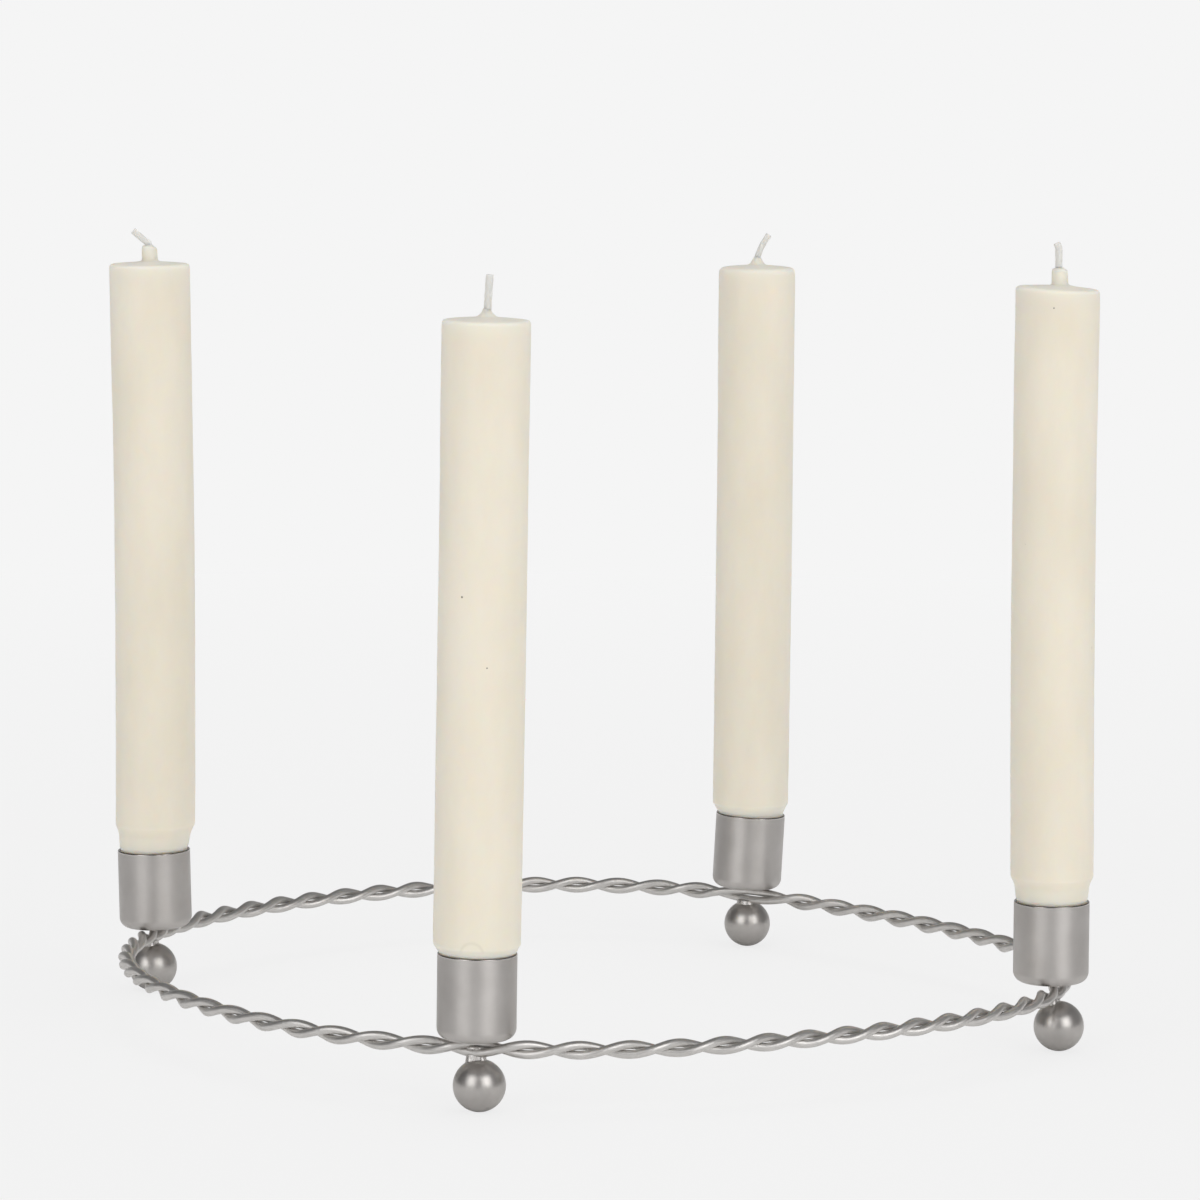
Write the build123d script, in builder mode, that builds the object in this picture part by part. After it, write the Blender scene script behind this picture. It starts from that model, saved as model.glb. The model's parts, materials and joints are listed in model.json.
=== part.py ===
import os
from math import atan2, cos, degrees, pi, radians, sin, sqrt

from build123d import *

os.makedirs("parts", exist_ok=True)

# Ring of two wires twisted round each other, bent a little out of round and standing a
# little higher at the front than at the rear
wire_size = 2.7
wire_gap = 0.25
ring_radius = 147.8
ring_tilt = 0.55
ring_swell_shares = ((2, 0.0165, -17), (3, 0.022, 4), (4, 0.025, 7))
ring_look_share = 0.001
rear_stretch_share = 1.8
twist_lead_angle = 0.4

# Round feet that the ring sinks into a little, and the weld beads below and above the ring
ball_size = 16
ring_sink = 0.1
ball_weld_length = 7
ball_weld_root = 1.8
ball_weld_grip = 1
ball_weld_flank_angle = 10
cup_weld_web = 0.4
cup_weld_length = 5.8
cup_weld_width = 3.4
cup_weld_grip = 0.9
weld_clearance = 0.05

# Drawn steel cups
cup_size = 24
cup_height = 26.1
cup_wall = 0.9
cup_corner = 3.4

# Straight candles with a shoulder and a tapered foot
candle_size = 26.6
candle_length = 186.6
candle_clearance = 0.35
candle_edge = 1.4
candle_top_rise = 0.9
shoulder_height = 2.2
shoulder_round = 1.8
foot_flare = 1.2
foot_taper = 1.05
foot_floor_gap = 3.1

# Wax collar round each wick, and the wicks
collar_size = 5.3
collar_round = 0.5
wick_size = 2.1
wick_clearance = 0.1
wick_start = 1.5

# Each place round the ring: name, bearing, half turns of twist to the next place
places = (("front", -85.7, 16), ("right", 0, 15), ("rear", 83.8, 18), ("left", 180.7, 17))

# The tables below follow the order of the places. How far the twist gets on in a half turn,
# and how late this changes on the way to the next place: more than 1 is late, less is early
twist_pace_shares = (1, 0.78, 1.05, 0.7)
twist_late_shares = (1, 1, 4, 0.4)

# Small leans in degrees towards one bearing
lean_bearing = 16.6
cup_lean_angles = (0.2, -0.4, 2.6, -1.6)
candle_lean_angles = (0.4, -0.6, -0.1, -0.7)

# How far each candle stands out of its cup, in shoulder heights, and its length in candle
# lengths; how far cups and feet sit off the ring's centre line, in wire sizes
lift_shares = (1.19823, 3.57095, 1.66091, 3.72518)
length_shares = (1, 1.001, 1.005, 1)
cup_out_shares = (0, -0.47, 0, -0.5)
ball_out_shares = (0.1, 0.62, 0.3, -0.1)
ball_along_shares = (0.4, 0, -0.04, 0)

# Weld metal between ring and cup, in webs, and the width of the beads on the feet, in wire sizes
cup_web_shares = (0.4, 1.5, 0.5, 0.5)
ball_weld_width_shares = (1.5, 1.35, 2.2, 1.5)

# Collar heights and top sizes in collar sizes; wick bends in degrees; the straight rise,
# the bend's radius and the straight tip of each wick in wick sizes
collar_height_shares = (0.36, 0.98, 0.42, 0.98)
collar_top_shares = (0.6, 0.97, 0.66, 0.95)
wick_bend_angles = (4, -20, 54, -52)
wick_rise_shares = (0.2, 2.5, 0.2, 0.05)
wick_bend_shares = (40, 2.5, 4.4, 0.6)
wick_tip_shares = (2, 0.6, 0.38, 3)

up = Vector(0, 0, 1)
wire_radius = wire_size / 2
twist_radius = (wire_size + wire_gap) / 2
twist_reach = twist_radius + wire_radius
ball_radius = ball_size / 2
ring_height = ball_size - ring_sink + twist_reach
cup_radius = cup_size / 2
bore_radius = cup_radius - cup_wall
candle_radius = candle_size / 2
foot_radius = bore_radius - candle_clearance
foot_sink = cup_height - cup_wall - foot_floor_gap
wick_radius = wick_size / 2


def ring_centre(angle):
    swell = sum(share * cos(count * (angle - radians(peak))) for count, share, peak in ring_swell_shares)
    reach = ring_radius * (1 + swell)
    height = ring_height - ring_tilt * (1 + swell) * sin(angle)
    return Vector(reach * cos(angle), reach * sin(angle), height)


def ring_along(angle):
    step = ring_centre(angle + ring_look_share) - ring_centre(angle - ring_look_share)
    return step / (2 * ring_look_share)


def ring_outward(angle):
    return ring_along(angle).cross(up).normalized()


# Bearings at which each quarter turn of the twist ends: the pace eases from each place to
# the next, and the quarter turns on both sides of the rear place are longer
def quarter_turns():
    bearings = []
    for index, (name, bearing, half_turns) in enumerate(places):
        following = (index + 1) % len(places)
        next_name, next_bearing, next_turns = places[following]
        span = (next_bearing - bearing) % 360
        pace, next_pace = twist_pace_shares[index], twist_pace_shares[following]
        quarters = 2 * half_turns
        late = twist_late_shares[index]
        eases = [(1 - cos(pi * ((step + 1 / 2) / quarters) ** late)) / 2 for step in range(quarters)]
        weights = [pace + (next_pace - pace) * ease for ease in eases]
        if name == "rear":
            weights[0] *= rear_stretch_share
        if next_name == "rear":
            weights[-1] *= rear_stretch_share
        for step in range(quarters):
            bearings.append(radians(bearing - twist_lead_angle + span * sum(weights[:step]) / sum(weights)))
    return bearings


quarter_bearings = quarter_turns()
quarter_count = len(quarter_bearings)


def quarter_bearing(step):
    return quarter_bearings[step % quarter_count] + 2 * pi * (step // quarter_count)


# Where a wire is after so many quarter turns, and which way it runs there
def strand_knot(step, side):
    angle = quarter_bearing(step)
    rate = (quarter_bearing(step + 1) - quarter_bearing(step - 1)) / 2
    twist = pi / 2 * (step + 1) + side * pi
    outward = ring_outward(angle)
    spoke = outward * cos(twist) + up * sin(twist)
    turning = up * cos(twist) - outward * sin(twist)
    way = ring_along(angle) * rate + turning * (twist_radius * pi / 2)
    return ring_centre(angle) + spoke * twist_radius, way.normalized()


# A quarter turn is two arcs that share a tangent where they meet
def quarter_arcs(step, side):
    start, start_way = strand_knot(step, side)
    end, end_way = strand_knot(step + 1, side)
    gap = end - start
    ways = start_way + end_way
    turn = 1 - start_way.dot(end_way)
    reach = (sqrt(gap.dot(ways) ** 2 + 2 * turn * gap.dot(gap)) - gap.dot(ways)) / (2 * turn)
    near = start + start_way * reach
    far = end - end_way * reach
    middle = (near + far) / 2
    TangentArc(start, middle, tangent=start_way)
    TangentArc(middle, end, tangent=far - near)


def strand_path(first, last, side):
    with BuildLine() as path:
        for step in range(first, last):
            quarter_arcs(step, side)
    return path.wire()


# Adds a round bar along a path to the piece being built, or takes it away
def round_bar(path, radius, mode=Mode.ADD):
    with BuildSketch(Plane(origin=path @ 0, z_dir=path % 0)) as section:
        Circle(radius)
    sweep(sections=section.sketch, path=path, mode=mode)


def upright(place):
    return Plane(place * Plane.XZ.location)


def stem(place):
    return Axis(place.position, Plane(place).z_dir)


def leaning(foot, lean):
    return Pos(foot) * Rot(0, 0, lean_bearing) * Rot(0, lean, 0)


half_count = quarter_count // 2
for side, name in enumerate(("ring_strand_a", "ring_strand_b")):
    with BuildPart() as strand:
        round_bar(strand_path(0, half_count, side), wire_radius)
        round_bar(strand_path(half_count, quarter_count, side), wire_radius)
    strand.part.label = name
    export_step(strand.part, f"parts/{name}.step")

place_step = 0
for index, (name, bearing, half_turns) in enumerate(places):
    angle = radians(bearing)
    ring_spot = ring_centre(angle)
    outward = ring_outward(angle)
    wire_way = ring_along(angle)
    wire_bearing = degrees(atan2(wire_way.Y, wire_way.X))
    cup_web = cup_web_shares[index] * cup_weld_web
    cup_spot = ring_spot + outward * (cup_out_shares[index] * wire_size) + up * (twist_reach + cup_web)
    cup_place = leaning(cup_spot, cup_lean_angles[index])
    ball_out = outward * (ball_out_shares[index] * wire_size)
    ball_along = up.cross(outward) * (ball_along_shares[index] * wire_size)
    ball_place = Pos(Vector(ring_spot.X, ring_spot.Y, 0) + ball_out + ball_along)
    rim_spot = (cup_place * Pos(0, 0, cup_height)).position
    candle_place = leaning(rim_spot, candle_lean_angles[index])
    groove_paths = [strand_path(place_step - 2, place_step + 2, side) for side in range(2)]
    place_step = place_step + 2 * half_turns

    # Ball, hollowed where a wire is sunk into its crown
    with BuildPart() as ball:
        with Locations(ball_place * Pos(0, 0, ball_radius)):
            Sphere(ball_radius)
        for path in groove_paths:
            round_bar(path, wire_radius + weld_clearance, Mode.SUBTRACT)
    ball.part.label = f"ball_foot_{name}"
    export_step(ball.part, f"parts/ball_foot_{name}.step")

    # Bead along the lower wire, on the crown of the ball
    bead_foot = ball_size - ball_weld_root
    bead_top = ring_spot.Z - twist_reach + ball_weld_grip
    bead_place = Pos(ring_spot.X, ring_spot.Y, bead_foot) * Rot(0, 0, wire_bearing)
    with BuildPart() as ball_weld:
        with BuildSketch(Plane(bead_place)):
            SlotOverall(ball_weld_length, ball_weld_width_shares[index] * wire_size)
        extrude(amount=bead_top - bead_foot, taper=ball_weld_flank_angle)
        with Locations(ball_place * Pos(0, 0, ball_radius)):
            Sphere(ball_radius, mode=Mode.SUBTRACT)
        for path in groove_paths:
            round_bar(path, wire_radius + weld_clearance, Mode.SUBTRACT)
    ball_weld.part.label = f"ball_weld_{name}"
    export_step(ball_weld.part, f"parts/ball_weld_{name}.step")

    # Bead along the upper wire, under the cup
    wire_spot = (cup_place.inverse() * Pos(ring_spot)).position
    bead_place = cup_place * Pos(wire_spot.X, wire_spot.Y, 0) * Rot(0, 0, wire_bearing - lean_bearing)
    with BuildPart() as cup_weld:
        with BuildSketch(Plane(bead_place)):
            SlotOverall(cup_weld_length, cup_weld_width)
        extrude(amount=-(cup_web + cup_weld_grip))
        for path in groove_paths:
            round_bar(path, wire_radius + weld_clearance, Mode.SUBTRACT)
    cup_weld.part.label = f"cup_weld_{name}"
    export_step(cup_weld.part, f"parts/cup_weld_{name}.step")

    # Thin cup with a rounded foot edge and a rounded rim
    with BuildPart() as cup:
        with BuildSketch(upright(cup_place)):
            with BuildLine():
                under = Line((0, 0), (cup_radius - cup_corner, 0))
                bend = TangentArc(under @ 1, (cup_radius, cup_corner), tangent=under % 1)
                wall = Line(bend @ 1, (cup_radius, cup_height - cup_wall / 2))
                rim = TangentArc(wall @ 1, (bore_radius, cup_height - cup_wall / 2), tangent=wall % 1)
                bore = Line(rim @ 1, (bore_radius, cup_corner))
                inner_bend = TangentArc(bore @ 1, (cup_radius - cup_corner, cup_wall), tangent=bore % 1)
                Polyline(inner_bend @ 1, (0, cup_wall), (0, 0))
            make_face()
        revolve(axis=stem(cup_place))
    cup.part.label = f"candle_cup_{name}"
    export_step(cup.part, f"parts/candle_cup_{name}.step")

    # Candle: foot in the cup, shoulder, long round body and a wax collar round the wick
    lift = lift_shares[index] * shoulder_height
    top = lift + length_shares[index] * candle_length
    collar_foot = top + candle_top_rise
    collar_top = collar_foot + collar_height_shares[index] * collar_size
    with BuildPart() as candle:
        with BuildSketch(upright(candle_place)):
            with BuildLine():
                body = Polyline(
                    (0, -foot_sink),
                    (foot_radius - foot_taper, -foot_sink),
                    (foot_radius, 0),
                    (foot_radius + foot_flare, lift - shoulder_height),
                    (candle_radius, lift),
                    (candle_radius, top - candle_edge),
                )
                edge = TangentArc(body @ 1, (candle_radius - candle_edge, top), tangent=body % 1)
                Polyline(
                    edge @ 1,
                    (collar_size / 2, collar_foot),
                    (collar_top_shares[index] * collar_size / 2, collar_top),
                    (0, collar_top),
                    (0, -foot_sink),
                )
            make_face()
        revolve(axis=stem(candle_place))
        rounds = candle.edges().filter_by(GeomType.CIRCLE).sort_by(stem(candle_place))
        fillet(rounds[2:4], shoulder_round)
        fillet(candle.edges().filter_by(GeomType.CIRCLE).sort_by(stem(candle_place))[-1], collar_round)
        with Locations(candle_place * Pos(0, 0, (collar_top - foot_sink) / 2)):
            Cylinder(wick_radius + wick_clearance, collar_top + foot_sink, mode=Mode.SUBTRACT)
    candle.part.label = f"candle_{name}"
    export_step(candle.part, f"parts/candle_{name}.step")

    # Wick through the wax, bent above the collar
    bend_start = collar_top + wick_rise_shares[index] * wick_size
    with BuildLine(upright(candle_place)) as wick_path:
        straight = Line((0, wick_start - foot_sink), (0, bend_start))
        bend_radius = wick_bend_shares[index] * wick_size
        curve = JernArc(straight @ 1, straight % 1, bend_radius, -wick_bend_angles[index])
        Line(curve @ 1, curve @ 1 + (curve % 1) * (wick_tip_shares[index] * wick_size))
    with BuildPart() as wick:
        round_bar(wick_path.wire(), wick_radius)
    wick.part.label = f"wick_{name}"
    export_step(wick.part, f"parts/wick_{name}.step")

# Least gap between the two wires, from points along both
samples = [[], []]
for side in range(2):
    for step in range(quarter_count):
        quarter = strand_path(step, step + 1, side)
        samples[side].append([quarter @ (share / 6) for share in range(6)])
least = min(
    (first - second).length
    for step in range(quarter_count)
    for near in (-1, 0, 1)
    for first in samples[0][step]
    for second in samples[1][(step + near) % quarter_count]
)
print("least gap between the wires", round(least - wire_size, 3))
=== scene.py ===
import json
from math import cos, pi, radians, sin

import bpy
from mathutils import Matrix, Vector


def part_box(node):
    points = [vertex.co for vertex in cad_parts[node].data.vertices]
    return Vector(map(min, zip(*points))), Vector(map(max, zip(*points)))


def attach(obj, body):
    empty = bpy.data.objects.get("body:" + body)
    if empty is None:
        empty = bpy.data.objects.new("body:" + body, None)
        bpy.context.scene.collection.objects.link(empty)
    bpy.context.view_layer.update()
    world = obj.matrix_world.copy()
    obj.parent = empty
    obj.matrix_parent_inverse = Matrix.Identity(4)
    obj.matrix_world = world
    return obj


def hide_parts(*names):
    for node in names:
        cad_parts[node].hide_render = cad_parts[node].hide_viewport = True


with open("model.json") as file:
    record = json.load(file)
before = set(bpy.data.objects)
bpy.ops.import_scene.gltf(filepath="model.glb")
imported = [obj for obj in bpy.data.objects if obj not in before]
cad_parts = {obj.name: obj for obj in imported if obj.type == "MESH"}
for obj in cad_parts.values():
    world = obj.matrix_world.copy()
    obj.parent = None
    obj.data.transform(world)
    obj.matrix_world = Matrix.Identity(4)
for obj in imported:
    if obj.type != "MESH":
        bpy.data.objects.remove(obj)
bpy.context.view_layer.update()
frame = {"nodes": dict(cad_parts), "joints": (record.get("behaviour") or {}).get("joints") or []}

mm = 0.001
view_turn = radians(16.6)
rightward = Vector((cos(view_turn), sin(view_turn), 0))
backward = Vector((-sin(view_turn), cos(view_turn), 0))
upward = Vector((0, 0, 1))

# Sizes are in millimetres and angles in degrees. Heights on a candle count from the rim of its cup

# Candles: shoulder height, body length, how far the body sits and bows to the right, tilt of the top
# and rounding of its edge. Wax collar: height, width of its top as a share of its foot, place to the
# right, slant of its top. Wick: place to the right of the body, half its thickness, lean, straight
# rise, bend with its radius, straight tip
candles = {
    "front": dict(lift=2.64, length=186.6, shift=-0.2, bow=0.1, tilt=0, edge=1.2,
                  collar=1.91, collar_top=0.6, collar_side=0.1, slant=0,
                  root=0.35, thick=1.2, lean=0, rise=0.42, bend=4, bend_radius=84, tip=4.2),
    "right": dict(lift=7.86, length=186.79, shift=0.0, bow=-0.5, tilt=3, edge=1.3,
                  collar=5.0, collar_top=0.97, collar_side=0.6, slant=5,
                  root=0.2, thick=1.2, lean=0, rise=5.35, bend=-20, bend_radius=5.25, tip=1.0),
    "rear": dict(lift=3.65, length=187.53, shift=-0.15, bow=0.2, tilt=0, edge=2.0,
                 collar=2.23, collar_top=0.66, collar_side=0.0, slant=0,
                 root=0.1, thick=1.12, lean=14, rise=0.42, bend=22, bend_radius=19, tip=1.4),
    "left": dict(lift=8.2, length=186.6, shift=0.65, bow=0.7, tilt=0, edge=1.2,
                 collar=4.8, collar_top=0.97, collar_side=0.2, slant=9,
                 root=0.0, thick=1.12, lean=0, rise=0.1, bend=-50, bend_radius=1.26, tip=6.3),
}
foot_sink = 22.1
foot_end_radius = 9.6
foot_end_round = 0.4
foot_middle = -12
foot_radius = 11.0
flare_radius = 11.95
body_radius = 13.28
shoulder_height = 2.4
top_rise = 0.9
collar_radius = 2.65
candle_sides = 72
body_steps = 44

# Foot and shoulder outlines, as shares of height and of width. A high candle shows its tapered foot,
# which ends so many shoulder heights below the shoulder, and has a gentler shoulder
foot_outline = ((0.06, 0.35), (0.18, 0.5), (0.5, 0.72), (0.8, 0.88))
foot_outline_drop = 1.3
high_shoulder = ((-0.3, 0.0), (0.0, 0.13), (0.3, 0.34), (0.6, 0.6), (0.86, 0.82), (1.05, 0.93), (1.35, 1.0))
low_shoulder = ((0.0, 0.0), (0.3, 0.2), (0.62, 0.5), (0.86, 0.84), (1.0, 0.92), (1.3, 1.0))

# Top outlines: the dome as height and share of the body's radius, then heights and steps outward at
# the collar's foot, at its top and at the wax that climbs the wick
dome_outline = ((0.25, 0.72), (0.55, 0.45))
collar_foot_outline = ((-0.15, 0.7), (0.2, 0.1))
collar_top_outline = ((-0.7, 0.05), (-0.25, -0.12))
wick_skirt_outline = ((0.3, 0.06), (0.6, -0.03), (0.5, -0.5))
collar_waist, collar_waist_share = 0.5, 0.25
collar_end_round, wick_skirt_width = 0.45, 0.2

# How far above the shoulder and the top the sideways shifts are complete, and how far round the top
# and the collar's end the tilt and the slant reach
seat_blend, collar_blend = 0.5, 0.6
tilt_below, tilt_clear, slant_below = 0.1, 1.5, 1.3

# Wicks: depth of the root in the collar, steps in the bend, and strands round the section
wick_root = 1.0
bend_steps = 6
strand_points, strand_twist = 12, 0.35
strand_swell, strand_dip = 1.01, 0.97

# Unevenness of the surfaces: size of the lumps and depth
hand_dipped, soft_dents = (30, 0.3), (7, 0.1)
waxy, ripples = (1.2, 0.08), (0.6, 0.35)

# Small dark specks in the wax: height, turn from the view, size, how dark
specks = {"front": ((108.1, -26.6, 0.42, 1), (87.3, 7.8, 0.34, 1)),
          "right": ((189, -10, 0.34, 1), (114.7, -48.9, 0.34, 1), (81.6, 61.9, 0.9, 0.2)),
          "rear": (), "left": ((71.6, -16.4, 0.3, 1),)}

# Faint curved nail mark in the wax: height, turn from the view, radius
nail_marks = {"front": (1.6, -6.5, 3.4)}

# Cups: lean to the right, how far to the right of its middle a cup is scorched, how far in front of
# the middle and above the foot, and the reach of the scorch; bands below the rim: one whose colour is
# darkened as painted shade and a painted dark reflection along the lip's top, and one that is polished
cup_leans = {"front": 0.2, "right": -0.4, "rear": 2.6, "left": -1.6}
scorched = {"right": -2.2, "left": -2.7}
scorch_front, scorch_height = 9.6, 1.0
scorch_reach = (0.6, 1.9)
lip_painted_shade_band, polished_band = (0.42, 0.25), (0.75, 0.5)

# Run of weld metal: half its length, depth and height, its place outward and up from the wires'
# middle, and how far along and around the wires count
weld_run_half = (2.3, 0.8, 0.75)
weld_run_out, weld_run_up = 1.5, 0.2
weld_run_along, weld_run_around = 2, 10

# Colours
cup_dark, cup_light = (0.55, 0.525, 0.505), (0.61, 0.585, 0.565)
# The cups' first dark colour is painted shade and a painted dark reflection along the top of the lip
cup_lip_painted_shade, cup_scorch = (0.24, 0.22, 0.205), (0.10, 0.085, 0.075)
ball_dark, ball_light = (0.49, 0.47, 0.45), (0.56, 0.535, 0.515)
wire_dark, wire_light = (0.62, 0.605, 0.585), (0.70, 0.68, 0.66)
weld_dark, weld_light = (0.40, 0.38, 0.365), (0.80, 0.78, 0.755)
wax_dark, wax_light, wax_clear = (0.765, 0.716, 0.605), (0.805, 0.76, 0.66), (0.745, 0.725, 0.655)
wax_speck, wax_nail_line = (0.16, 0.14, 0.11), (0.55, 0.50, 0.42)
cotton_dark, cotton_light = (0.63, 0.63, 0.61), (0.67, 0.67, 0.65)
paper_grey, paper_white = 0.88, 0.913
fill_left, fill_right = 0.33, 0.57
wall_left, wall_right, wall_behind = 0.14, 0.24, 0.5

# Studio, in metres
floor_radius, wall_radius = 6, 9
wall_foot = 0.02
lamp_gap = 0.05
lamp_aim = 0.1


def deselect():
    bpy.ops.object.select_all(action="DESELECT")


def choose(piece):
    deselect()
    piece.select_set(True)
    bpy.context.view_layer.objects.active = piece


def named(name):
    piece = bpy.context.object
    piece.name = name
    piece.data.name = name
    return piece


def apply_all(piece):
    choose(piece)
    for modifier in list(piece.modifiers):
        bpy.ops.object.modifier_apply(modifier=modifier.name)


def settle(piece, stand):
    choose(piece)
    piece.matrix_world = stand
    bpy.ops.object.transform_apply(location=True, rotation=True, scale=True)


def uneven(piece, name, lumps):
    grain, depth = lumps
    texture = bpy.data.textures.new(name, "CLOUDS")
    texture.noise_scale = grain * mm
    texture.noise_depth = 2
    change = piece.modifiers.new(name, "DISPLACE")
    change.texture = texture
    change.texture_coords = "LOCAL"
    change.mid_level = 0.65
    change.strength = depth * mm


# The candle's own frame: its axis, with the rim of the cup at zero and x to the right in the view
def candle_stand(name):
    slide = next(joint for joint in frame["joints"] if joint["child"] == name + "_candle")
    axis = Vector(slide["axis"]).normalized()
    side = (rightward - axis * rightward.dot(axis)).normalized()
    deep = axis.cross(side)
    points = [vertex.co for vertex in frame["nodes"]["candle_" + name].data.vertices]
    low = min(point.dot(axis) for point in points)
    foot = [point for point in points if point.dot(axis) < low + 0.02 * mm]
    middle = sum(((min(point.dot(way) for point in foot) + max(point.dot(way) for point in foot)) / 2 * way
                  for way in (side, deep)), Vector())
    rim = middle + axis * (low + foot_sink * mm)
    return Matrix.Translation(rim) @ Matrix((side, deep, axis)).transposed().to_4x4()


stands = {name: candle_stand(name) for name in candles}


# Materials

def node(tree, kind, **settings):
    made = tree.nodes.new(kind)
    for key, value in settings.items():
        setattr(made, key, value)
    return made


def grey(value):
    return (value, value, value)


def blank(name):
    material = bpy.data.materials.new(name)
    material.use_nodes = True
    tree = material.node_tree
    tree.nodes.clear()
    out = node(tree, "ShaderNodeOutputMaterial")
    shader = node(tree, "ShaderNodeBsdfPrincipled")
    tree.links.new(shader.outputs["BSDF"], out.inputs["Surface"])
    place = node(tree, "ShaderNodeTexCoord")
    return material, tree, shader, place.outputs["Object"]


def stretched(tree, place, scale):
    mapping = node(tree, "ShaderNodeMapping")
    mapping.inputs["Scale"].default_value = scale
    tree.links.new(place, mapping.inputs["Vector"])
    return mapping.outputs["Vector"]


def noise(tree, place, scale, detail=3.0, roughness=0.55):
    made = node(tree, "ShaderNodeTexNoise")
    made.inputs["Scale"].default_value = scale
    made.inputs["Detail"].default_value = detail
    made.inputs["Roughness"].default_value = roughness
    tree.links.new(place, made.inputs["Vector"])
    return made.outputs["Fac"]


def ramp(tree, factor, *stops):
    made = node(tree, "ShaderNodeValToRGB")
    while len(made.color_ramp.elements) < len(stops):
        made.color_ramp.elements.new(1)
    for element, (position, colour) in zip(made.color_ramp.elements, stops):
        element.position = position
        element.color = (*colour, 1)
    tree.links.new(factor, made.inputs["Fac"])
    return made.outputs["Color"]


def span(tree, factor, low, high, to_low, to_high):
    made = node(tree, "ShaderNodeMapRange")
    made.inputs["From Min"].default_value = low
    made.inputs["From Max"].default_value = high
    made.inputs["To Min"].default_value = to_low
    made.inputs["To Max"].default_value = to_high
    tree.links.new(factor, made.inputs["Value"])
    return made.outputs["Result"]


def times(tree, first, second):
    made = node(tree, "ShaderNodeMath", operation="MULTIPLY")
    tree.links.new(first, made.inputs[0])
    tree.links.new(second, made.inputs[1])
    return made.outputs["Value"]


def mixed(tree, factor, first, second):
    made = node(tree, "ShaderNodeMix", data_type="RGBA")
    tree.links.new(factor, made.inputs["Factor"])
    for socket, value in ((made.inputs["A"], first), (made.inputs["B"], second)):
        if isinstance(value, tuple):
            socket.default_value = (*value, 1)
        else:
            tree.links.new(value, socket)
    return made.outputs["Result"]


def bumped(tree, shader, height, strength, distance, below=None):
    made = node(tree, "ShaderNodeBump")
    made.inputs["Strength"].default_value = strength
    made.inputs["Distance"].default_value = distance
    tree.links.new(height, made.inputs["Height"])
    if below:
        tree.links.new(below, made.inputs["Normal"])
    tree.links.new(made.outputs["Normal"], shader.inputs["Normal"])
    return made.outputs["Normal"]


def along(tree, place, way):
    made = node(tree, "ShaderNodeVectorMath", operation="DOT_PRODUCT")
    made.inputs[1].default_value = way
    tree.links.new(place, made.inputs[0])
    return made.outputs["Value"]


def near(tree, place, spot, full, none):
    away = node(tree, "ShaderNodeVectorMath", operation="DISTANCE")
    away.inputs[1].default_value = spot
    tree.links.new(place, away.inputs[0])
    return span(tree, away.outputs["Value"], full, none, 1, 0)


# Satin turned steel with a polished lip whose top is darkened in colour as painted shade and a painted dark
# reflection, and a dark scorch by the weld of some cups
def cup_steel(name, axis, rim, scorch_spot):
    material, tree, shader, place = blank(name)
    shader.inputs["Metallic"].default_value = 1
    tone = ramp(tree, noise(tree, place, 90, 4), (0.3, cup_dark), (0.7, cup_light))
    if scorch_spot:
        full, none = scorch_reach
        scorch = times(tree, near(tree, place, scorch_spot, full * mm, none * mm),
                       span(tree, noise(tree, place, 700, 3), 0.35, 0.6, 0.3, 1))
        tone = mixed(tree, scorch, tone, cup_scorch)
    height = along(tree, place, axis)
    # Painted shade and painted dark reflection: the colour darkens along the top of the lip
    start, end = lip_painted_shade_band
    tone = mixed(tree, span(tree, height, rim - start * mm, rim - end * mm, 0, 1), tone, cup_lip_painted_shade)
    tree.links.new(tone, shader.inputs["Base Color"])
    start, end = polished_band
    lip = span(tree, height, rim - start * mm, rim - end * mm, 0, 1)
    satin = span(tree, noise(tree, place, 260, 3), 0.3, 0.7, 0.43, 0.49)
    tree.links.new(times(tree, satin, span(tree, lip, 0, 1, 1, 0.32)), shader.inputs["Roughness"])
    shader.inputs["Anisotropic"].default_value = 0.6
    shader.inputs["Anisotropic Rotation"].default_value = 0.25
    turning = node(tree, "ShaderNodeTangent", direction_type="RADIAL", axis="Z")
    tree.links.new(turning.outputs["Tangent"], shader.inputs["Tangent"])
    bumped(tree, shader, noise(tree, stretched(tree, place, (120, 120, 2600)), 1, 2), 0.04, 0.02 * mm)
    return material


def plain_steel(name, dark, light, grain, rough_low, rough_high, bump, bump_grain):
    material, tree, shader, place = blank(name)
    shader.inputs["Metallic"].default_value = 1
    tree.links.new(ramp(tree, noise(tree, place, grain, 4), (0.3, dark), (0.7, light)), shader.inputs["Base Color"])
    tree.links.new(span(tree, noise(tree, place, grain * 2.5, 3), 0.3, 0.7, rough_low, rough_high),
                   shader.inputs["Roughness"])
    bumped(tree, shader, noise(tree, place, bump_grain, 3), bump, 0.03 * mm)
    return material


# A spot on the skin of a candle's body
def skin_spot(stand, rise, turn):
    return stand @ (Vector((body_radius * sin(radians(turn)), -body_radius * cos(radians(turn)), rise)) * mm)


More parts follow.
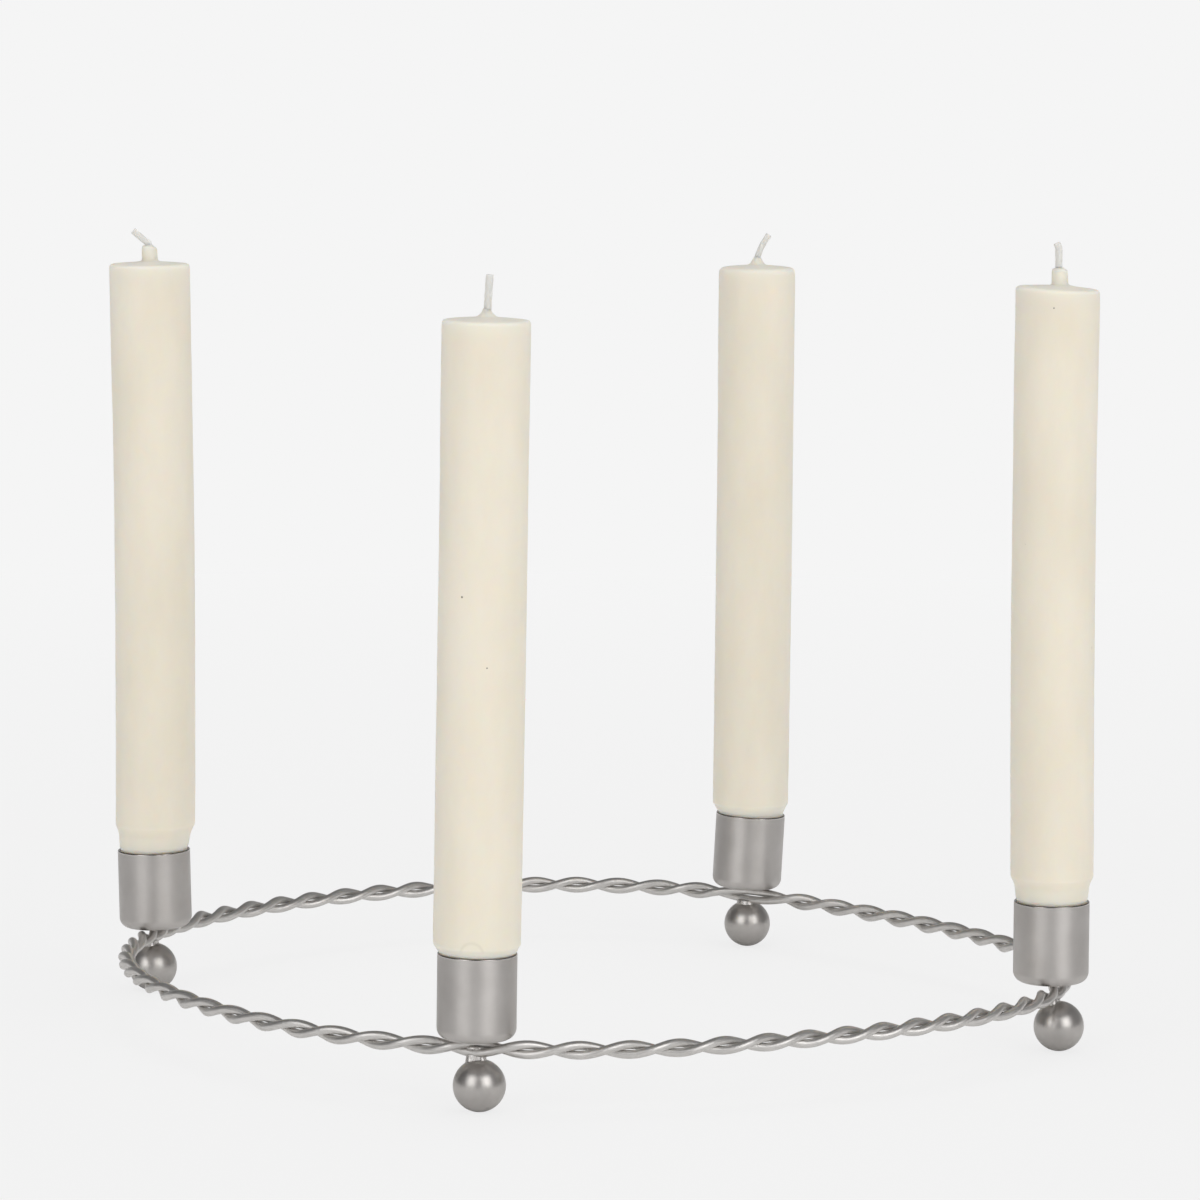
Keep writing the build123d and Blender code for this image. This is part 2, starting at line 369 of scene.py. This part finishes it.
# Ivory wax, paler and clearer at the top, with a few specks and the nail mark
def ivory_wax(name, stand, top, marks, nail_mark):
    material, tree, shader, place = blank(name)
    tone = ramp(tree, noise(tree, stretched(tree, place, (1, 1, 0.35)), 60, 4), (0.3, wax_dark), (0.7, wax_light))
    height = node(tree, "ShaderNodeSeparateXYZ")
    tree.links.new(place, height.inputs[0])
    top_height = (stand @ Vector((0, 0, top * mm))).z
    clear = span(tree, height.outputs["Z"], top_height - 8 * mm, top_height - 1 * mm, 0, 0.7)
    tone = mixed(tree, clear, tone, wax_clear)
    for rise, turn, size, depth in marks:
        spot = skin_spot(stand, rise, turn)
        dark = span(tree, near(tree, place, spot, size * 0.4 * mm, size * mm), 0, 1, 0, depth)
        tone = mixed(tree, dark, tone, wax_speck)
    if nail_mark:
        rise, turn, radius = nail_mark
        spot = skin_spot(stand, rise, turn)
        line = times(tree, near(tree, place, spot, radius * mm, 1.2 * radius * mm),
                     span(tree, near(tree, place, spot, 0.78 * radius * mm, radius * mm), 0, 1, 0.25, 0))
        line = times(tree, line, span(tree, height.outputs["Z"], spot.z, spot.z + mm, 0, 1))
        tone = mixed(tree, line, tone, wax_nail_line)
    tree.links.new(tone, shader.inputs["Base Color"])
    shader.inputs["Subsurface Weight"].default_value = 0.9
    shader.inputs["Subsurface Radius"].default_value = (1.0, 0.75, 0.5)
    shader.inputs["Subsurface Scale"].default_value = 8 * mm
    tree.links.new(span(tree, noise(tree, place, 150, 3), 0.3, 0.7, 0.42, 0.54), shader.inputs["Roughness"])
    shader.inputs["Specular IOR Level"].default_value = 0.28
    below = bumped(tree, shader, noise(tree, stretched(tree, place, (1, 1, 0.08)), 260, 3), 0.10, 0.15 * mm)
    bumped(tree, shader, noise(tree, place, 900, 3), 0.06, 0.08 * mm, below)
    return material


def waxed_cotton():
    material, tree, shader, place = blank("waxed_wick_cotton")
    tone = ramp(tree, noise(tree, place, 900, 4), (0.3, cotton_dark), (0.7, cotton_light))
    tree.links.new(tone, shader.inputs["Base Color"])
    shader.inputs["Roughness"].default_value = 0.6
    shader.inputs["Specular IOR Level"].default_value = 0.2
    shader.inputs["Subsurface Weight"].default_value = 1.0
    shader.inputs["Subsurface Radius"].default_value = (1.0, 0.9, 0.8)
    shader.inputs["Subsurface Scale"].default_value = 2.5 * mm
    bumped(tree, shader, noise(tree, stretched(tree, place, (1, 1, 0.3)), 3200, 3), 0.07, 0.05 * mm)
    return material


# Pieces

def body_top(shape):
    return shape["lift"] + shape["length"]


# Height and radius of each ring of a candle, from the foot to the wax that climbs the wick
def candle_rings(shape):
    lift, edge, thick = shape["lift"], shape["edge"], shape["thick"]
    top = body_top(shape)
    collar_foot = top + top_rise
    collar_end = collar_foot + shape["collar"]
    collar_top = collar_radius * shape["collar_top"]
    rings = [(-foot_sink + foot_end_round, foot_end_radius),
             (foot_middle, (foot_end_radius + foot_radius) / 2),
             (0, foot_radius)]
    shoulder = low_shoulder
    if lift > 2 * shoulder_height:
        rings += [((lift - foot_outline_drop * shoulder_height) * rise,
                   foot_radius + (flare_radius - foot_radius) * share) for rise, share in foot_outline]
        shoulder = high_shoulder
    rings += [(lift - shoulder_height * (1 - rise), flare_radius + (body_radius - flare_radius) * share)
              for rise, share in shoulder]
    first, last = rings[-1][0], top - edge
    rings += [(first + (last - first) * step / body_steps, body_radius) for step in range(1, body_steps + 1)]
    rings += [(top - edge + edge * sin(turn), body_radius - edge + edge * cos(turn))
              for turn in (pi / 8, pi / 4, 3 * pi / 8, pi / 2)]
    rings += [(top + rise, body_radius * share) for rise, share in dome_outline]
    rings += [(collar_foot + rise, collar_radius + out) for rise, out in collar_foot_outline]
    rings += [(collar_foot + collar_waist, collar_radius + (collar_top - collar_radius) * collar_waist_share)]
    rings += [(collar_end + rise, collar_top + out) for rise, out in collar_top_outline]
    rings += [(collar_end, max(collar_top - collar_end_round, thick + wick_skirt_width))]
    rings += [(collar_end + rise, thick + out) for rise, out in wick_skirt_outline]
    return rings


# How far to the right the middle of a candle lies at a height
def sideways(shape, height):
    share = max(0.0, min(1.0, (height - shape["lift"]) / shape["length"]))
    seated = max(0.0, min(1.0, height / (shape["lift"] + seat_blend)))
    collared = max(0.0, min(1.0, (height - shape["lift"] - shape["length"]) / collar_blend))
    return shape["shift"] * seated + shape["bow"] * sin(pi * share) + shape["collar_side"] * collared


def candle_body(name, shape):
    at, wide, side = -foot_sink, foot_end_radius - foot_end_round, 0.0
    deselect()
    bpy.ops.mesh.primitive_circle_add(vertices=candle_sides, radius=wide * mm, location=(0, 0, at * mm))
    piece = named(name)
    bpy.ops.object.transform_apply(location=True)
    bpy.ops.object.mode_set(mode="EDIT")
    bpy.ops.mesh.select_all(action="SELECT")
    bpy.ops.mesh.edge_face_add()
    for height, radius in candle_rings(shape):
        bend = sideways(shape, height)
        move = ((bend - side) * mm, 0, (height - at) * mm)
        bpy.ops.mesh.extrude_region_move(TRANSFORM_OT_translate={"value": move})
        bpy.ops.transform.resize(value=(radius / wide, radius / wide, 1), center_override=(bend * mm, 0, height * mm))
        at, wide, side = height, radius, bend
    top = body_top(shape)
    middle = sideways(shape, top)
    if shape["tilt"]:
        bpy.ops.mesh.select_all(action="DESELECT")
        bpy.ops.object.mode_set(mode="OBJECT")
        for vertex in piece.data.vertices:
            away = (vertex.co.xy - Vector((middle * mm, 0))).length
            vertex.select = (vertex.co.z > (top - shape["edge"] - tilt_below) * mm
                             and away > (collar_radius + tilt_clear) * mm)
        bpy.ops.object.mode_set(mode="EDIT")
        bpy.ops.transform.rotate(value=-radians(shape["tilt"]), orient_axis="Y", center_override=(0, 0, top * mm))
    if shape["slant"]:
        end = top + top_rise + shape["collar"]
        bpy.ops.mesh.select_all(action="DESELECT")
        bpy.ops.object.mode_set(mode="OBJECT")
        for vertex in piece.data.vertices:
            vertex.select = vertex.co.z > (end - slant_below) * mm
        bpy.ops.object.mode_set(mode="EDIT")
        bpy.ops.transform.rotate(value=-radians(shape["slant"]), orient_axis="Y",
                                 center_override=(middle * mm, 0, end * mm))
    bpy.ops.mesh.select_all(action="SELECT")
    bpy.ops.mesh.normals_make_consistent(inside=False)
    bpy.ops.object.mode_set(mode="OBJECT")
    finer = piece.modifiers.new("finer", "SUBSURF")
    finer.levels = finer.render_levels = 1
    uneven(piece, name + "_hand_dipped", hand_dipped)
    uneven(piece, name + "_soft_dents", soft_dents)
    apply_all(piece)
    bpy.ops.object.shade_smooth()
    return piece


# Points along a wick, to the right and up
def wick_points(shape):
    start = body_top(shape) + top_rise + shape["collar"] - wick_root
    points = [(0, start), (0, start + wick_root / 2), (0, start + wick_root + shape["rise"])]
    turn = radians(abs(shape["bend"]))
    way = 1 if shape["bend"] > 0 else -1
    radius = shape["bend_radius"]
    for step in range(1, bend_steps + 1):
        angle = turn * step / bend_steps
        points.append((way * radius * (1 - cos(angle)), points[2][1] + radius * sin(angle)))
    end = points[-1]
    for share in (0.5, 1.0):
        points.append((end[0] + way * sin(turn) * shape["tip"] * share, end[1] + cos(turn) * shape["tip"] * share))
    lean, foot = radians(shape["lean"]), start + wick_root
    points[3:] = [(x * cos(lean) + (z - foot) * sin(lean), foot + (z - foot) * cos(lean) - x * sin(lean))
                  for x, z in points[3:]]
    side = sideways(shape, body_top(shape)) + shape["root"]
    return [(x + side, z) for x, z in points]


def wick(name, shape):
    points = wick_points(shape)
    deselect()
    bpy.ops.curve.primitive_nurbs_path_add(location=(0, 0, 0))
    path = named(name)
    spline = path.data.splines[0]
    spline.points.add(len(points) - len(spline.points))
    for index, (x, z) in enumerate(points):
        spline.points[index].co = (x * mm, 0, z * mm, 1)
        spline.points[index].tilt = index * strand_twist
    spline.order_u = 3
    spline.use_endpoint_u = True
    spline.resolution_u = 10
    deselect()
    bpy.ops.curve.primitive_nurbs_circle_add(radius=shape["thick"] * mm, location=(0, 0, 0))
    strands = named(name + "_strands")
    ring = strands.data.splines[0]
    ring.points.add(strand_points - len(ring.points))
    for index, point in enumerate(ring.points):
        angle = 2 * pi * index / strand_points
        reach = shape["thick"] * mm * (strand_swell if index % 4 != 2 else strand_dip)
        point.co = (reach * cos(angle), reach * sin(angle), 0, 1)
    ring.order_u = 3
    ring.use_cyclic_u = True
    strands.data.resolution_u = 4
    path.data.bevel_mode = "OBJECT"
    path.data.bevel_object = strands
    path.data.use_fill_caps = True
    choose(path)
    bpy.ops.object.convert(target="MESH")
    piece = named(name)
    choose(strands)
    bpy.ops.object.delete()
    choose(piece)
    bpy.ops.object.mode_set(mode="EDIT")
    bpy.ops.mesh.select_all(action="SELECT")
    bpy.ops.mesh.remove_doubles(threshold=0.00001)
    bpy.ops.mesh.normals_make_consistent(inside=False)
    bpy.ops.object.mode_set(mode="OBJECT")
    uneven(piece, name + "_waxy", waxy)
    apply_all(piece)
    bpy.ops.object.shade_smooth()
    return piece


# A run of weld metal in the groove between the two wires over a ball
def weld_run(name, place):
    low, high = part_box("ball_weld_" + place)
    over = Vector(((low.x + high.x) / 2, (low.y + high.y) / 2, 0))
    outward = over.normalized()
    onward = upward.cross(outward)
    wires = [vertex.co for strand in ("ring_strand_a", "ring_strand_b")
             for vertex in frame["nodes"][strand].data.vertices
             if abs((vertex.co - over).dot(onward)) < weld_run_along * mm
             and (vertex.co.xy - over.xy).length < weld_run_around * mm]
    spot = sum(wires, Vector()) / len(wires) + (outward * weld_run_out + upward * weld_run_up) * mm
    deselect()
    bpy.ops.mesh.primitive_ico_sphere_add(subdivisions=4, radius=mm, location=(0, 0, 0))
    piece = named(name)
    bpy.ops.transform.resize(value=weld_run_half)
    bpy.ops.object.transform_apply(scale=True)
    uneven(piece, name + "_ripples", ripples)
    apply_all(piece)
    bpy.ops.object.shade_smooth()
    settle(piece, Matrix.Translation(spot) @ Matrix((onward, -outward, upward)).transposed().to_4x4())
    return piece


wick_look = waxed_cotton()
for name, shape in candles.items():
    body = candle_body("wax_candle_" + name, shape)
    settle(body, stands[name])
    wax_look = ivory_wax("ivory_wax_" + name, stands[name], body_top(shape), specks[name], nail_marks.get(name))
    body.data.materials.append(wax_look)
    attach(body, name + "_candle")
    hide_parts("candle_" + name)
    cord = wick("cotton_wick_" + name, shape)
    settle(cord, stands[name])
    cord.data.materials.append(wick_look)
    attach(cord, name + "_candle")
    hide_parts("wick_" + name)

run = weld_run("weld_run_front", "front")
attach(run, "holder")


# Finishes for the pieces that keep their own solids, and for the weld run

def dress(name, material):
    piece = frame["nodes"][name]
    piece.data.materials.clear()
    piece.data.materials.append(material)


ball_look = plain_steel("ball_satin_steel", ball_dark, ball_light, 160, 0.32, 0.35, 0.015, 2400)
wire_look = plain_steel("twisted_wire_steel", wire_dark, wire_light, 220, 0.36, 0.44, 0.06, 1500)
weld_look = plain_steel("weld_bead_metal", weld_dark, weld_light, 900, 0.2, 0.4, 0.6, 1300)
for name in candles:
    low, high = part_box("candle_cup_" + name)
    axis = rightward * sin(radians(cup_leans[name])) + upward * cos(radians(cup_leans[name]))
    rim = max(vertex.co.dot(axis) for vertex in frame["nodes"]["candle_cup_" + name].data.vertices)
    scorch_spot = None
    if name in scorched:
        middle = Vector(((low.x + high.x) / 2, (low.y + high.y) / 2, low.z))
        scorch_spot = middle + (rightward * scorched[name] - backward * scorch_front + upward * scorch_height) * mm
    dress("candle_cup_" + name, cup_steel("cup_satin_steel_" + name, axis, rim, scorch_spot))
    dress("ball_foot_" + name, ball_look)
    dress("ball_weld_" + name, weld_look)
    dress("cup_weld_" + name, weld_look)
for name in ("ring_strand_a", "ring_strand_b"):
    dress(name, wire_look)
run.data.materials.append(weld_look)


# Floor, studio and camera

def glowing(name):
    material = bpy.data.materials.new(name)
    material.use_nodes = True
    tree = material.node_tree
    tree.nodes.clear()
    out = node(tree, "ShaderNodeOutputMaterial")
    glow = node(tree, "ShaderNodeEmission")
    place = node(tree, "ShaderNodeTexCoord")
    return material, tree, glow, out.inputs["Surface"], place.outputs["Object"]


# Paper floor that keeps a soft shadow near the feet and fades to an even white further off
def studio_floor():
    deselect()
    bpy.ops.mesh.primitive_circle_add(vertices=96, radius=floor_radius, fill_type="NGON", location=(0, 0, -0.1 * mm))
    piece = named("pale_floor")
    material, tree, glow, surface, place = glowing("pale_floor_paper")
    paper = node(tree, "ShaderNodeBsdfDiffuse")
    paper.inputs["Color"].default_value = (*grey(paper_grey), 1)
    glow.inputs["Color"].default_value = (*grey(paper_white), 1)
    away = node(tree, "ShaderNodeVectorMath", operation="LENGTH")
    tree.links.new(place, away.inputs[0])
    share = span(tree, away.outputs["Value"], 0.25, 1.3, 0.86, 1.0)
    ray = node(tree, "ShaderNodeLightPath")
    share = times(tree, share, span(tree, ray.outputs["Is Glossy Ray"], 0, 1, 1, 0))
    mix = node(tree, "ShaderNodeMixShader")
    tree.links.new(share, mix.inputs[0])
    tree.links.new(paper.outputs[0], mix.inputs[1])
    tree.links.new(glow.outputs[0], mix.inputs[2])
    tree.links.new(mix.outputs[0], surface)
    piece.data.materials.append(material)


# Dark studio walls that only the metal reflects, lighter to the right and low down behind the object
def studio_walls():
    deselect()
    bpy.ops.mesh.primitive_uv_sphere_add(segments=48, ring_count=24, radius=wall_radius, location=(0, 0, 0))
    piece = named("studio_walls")
    bpy.ops.object.mode_set(mode="EDIT")
    bpy.ops.mesh.select_all(action="SELECT")
    bpy.ops.mesh.bisect(plane_co=(0, 0, wall_foot), plane_no=(0, 0, 1), clear_inner=True)
    bpy.ops.object.mode_set(mode="OBJECT")
    material, tree, glow, surface, place = glowing("studio_wall_grey")
    sides = ramp(tree, span(tree, along(tree, place, rightward / wall_radius), -1, 1, 0, 1),
                 (0.0, grey(wall_left)), (1.0, grey(wall_right)))
    behind = span(tree, along(tree, place, backward / wall_radius), 0.35, 0.9, 0, 1)
    low = span(tree, along(tree, place, upward / wall_radius), 0.1, 0.55, 1, 0)
    tree.links.new(mixed(tree, times(tree, behind, low), sides, grey(wall_behind)), glow.inputs["Color"])
    tree.links.new(glow.outputs[0], surface)
    piece.data.materials.append(material)
    piece.visible_camera = False
    piece.visible_diffuse = False
    piece.visible_transmission = False
    piece.visible_shadow = False
    piece.visible_volume_scatter = False


# A softbox that falls off to its edges: three lamps, one close behind the other, each smaller than the last
def softbox(name, side, high, distance, wide, tall, brightness, in_metal=True):
    heading = -backward * cos(radians(side)) + rightward * sin(radians(side))
    layers = (("edge", 1.45, 1.15, 0.3), ("body", 1.0, 1.0, 0.4), ("core", 0.55, 0.8, 0.45))
    for step, (layer, width, height, share) in enumerate(layers):
        reach = distance + lamp_gap * step
        spot = heading * (reach * cos(radians(high))) + upward * (reach * sin(radians(high)))
        lamp = bpy.data.lights.new(name + "_" + layer, "AREA")
        lamp.shape = "RECTANGLE"
        lamp.size = wide * width
        lamp.size_y = tall * height
        lamp.energy = brightness * share * pi * lamp.size * lamp.size_y
        holder = bpy.data.objects.new(name + "_" + layer, lamp)
        bpy.context.scene.collection.objects.link(holder)
        holder.location = spot
        holder.rotation_euler = (spot - upward * lamp_aim).to_track_quat("Z", "Y").to_euler()
        holder.visible_glossy = in_metal


# White to the camera and in reflections, and a soft fill for the rest, brighter from the right
def world_light():
    world = bpy.data.worlds.new("white_surround")
    bpy.context.scene.world = world
    world.use_nodes = True
    tree = world.node_tree
    tree.nodes.clear()
    out = node(tree, "ShaderNodeOutputWorld")
    ray = node(tree, "ShaderNodeLightPath")
    seen = node(tree, "ShaderNodeMath", operation="MAXIMUM")
    tree.links.new(ray.outputs["Is Camera Ray"], seen.inputs[0])
    through = node(tree, "ShaderNodeMath", operation="MAXIMUM")
    tree.links.new(ray.outputs["Is Glossy Ray"], through.inputs[0])
    tree.links.new(ray.outputs["Is Transmission Ray"], through.inputs[1])
    tree.links.new(through.outputs[0], seen.inputs[1])
    fill = node(tree, "ShaderNodeBackground")
    place = node(tree, "ShaderNodeTexCoord")
    from_left = span(tree, along(tree, place.outputs["Generated"], rightward), -1, 1, 0, 1)
    tone = ramp(tree, from_left, (0.0, grey(fill_left)), (1.0, grey(fill_right)))
    tree.links.new(tone, fill.inputs["Color"])
    white = node(tree, "ShaderNodeBackground")
    white.inputs["Color"].default_value = (*grey(paper_white), 1)
    mix = node(tree, "ShaderNodeMixShader")
    tree.links.new(seen.outputs[0], mix.inputs[0])
    tree.links.new(fill.outputs[0], mix.inputs[1])
    tree.links.new(white.outputs[0], mix.inputs[2])
    tree.links.new(mix.outputs[0], out.inputs["Surface"])


def photo_camera():
    lens = bpy.data.cameras.new("photo_camera")
    lens.lens = 162.375
    lens.sensor_width = 36
    lens.clip_end = 50
    camera = bpy.data.objects.new("photo_camera", lens)
    bpy.context.scene.collection.objects.link(camera)
    camera.location = (0.49805, -1.66734, 0.34167)
    camera.rotation_euler = (radians(83.3102), radians(-0.618), radians(16.5733))
    bpy.context.scene.camera = camera
    bpy.context.scene.view_settings.view_transform = "Standard"


studio_floor()
studio_walls()
softbox("softbox_left", side=-37, high=26, distance=4, wide=2.5, tall=3.0, brightness=1.65)
softbox("softbox_right", side=34, high=26, distance=4, wide=2.5, tall=3.0, brightness=1.95)
softbox("softbox_overhead", side=0, high=98, distance=3.2, wide=2.2, tall=2.2, brightness=1.35, in_metal=False)
world_light()
photo_camera()
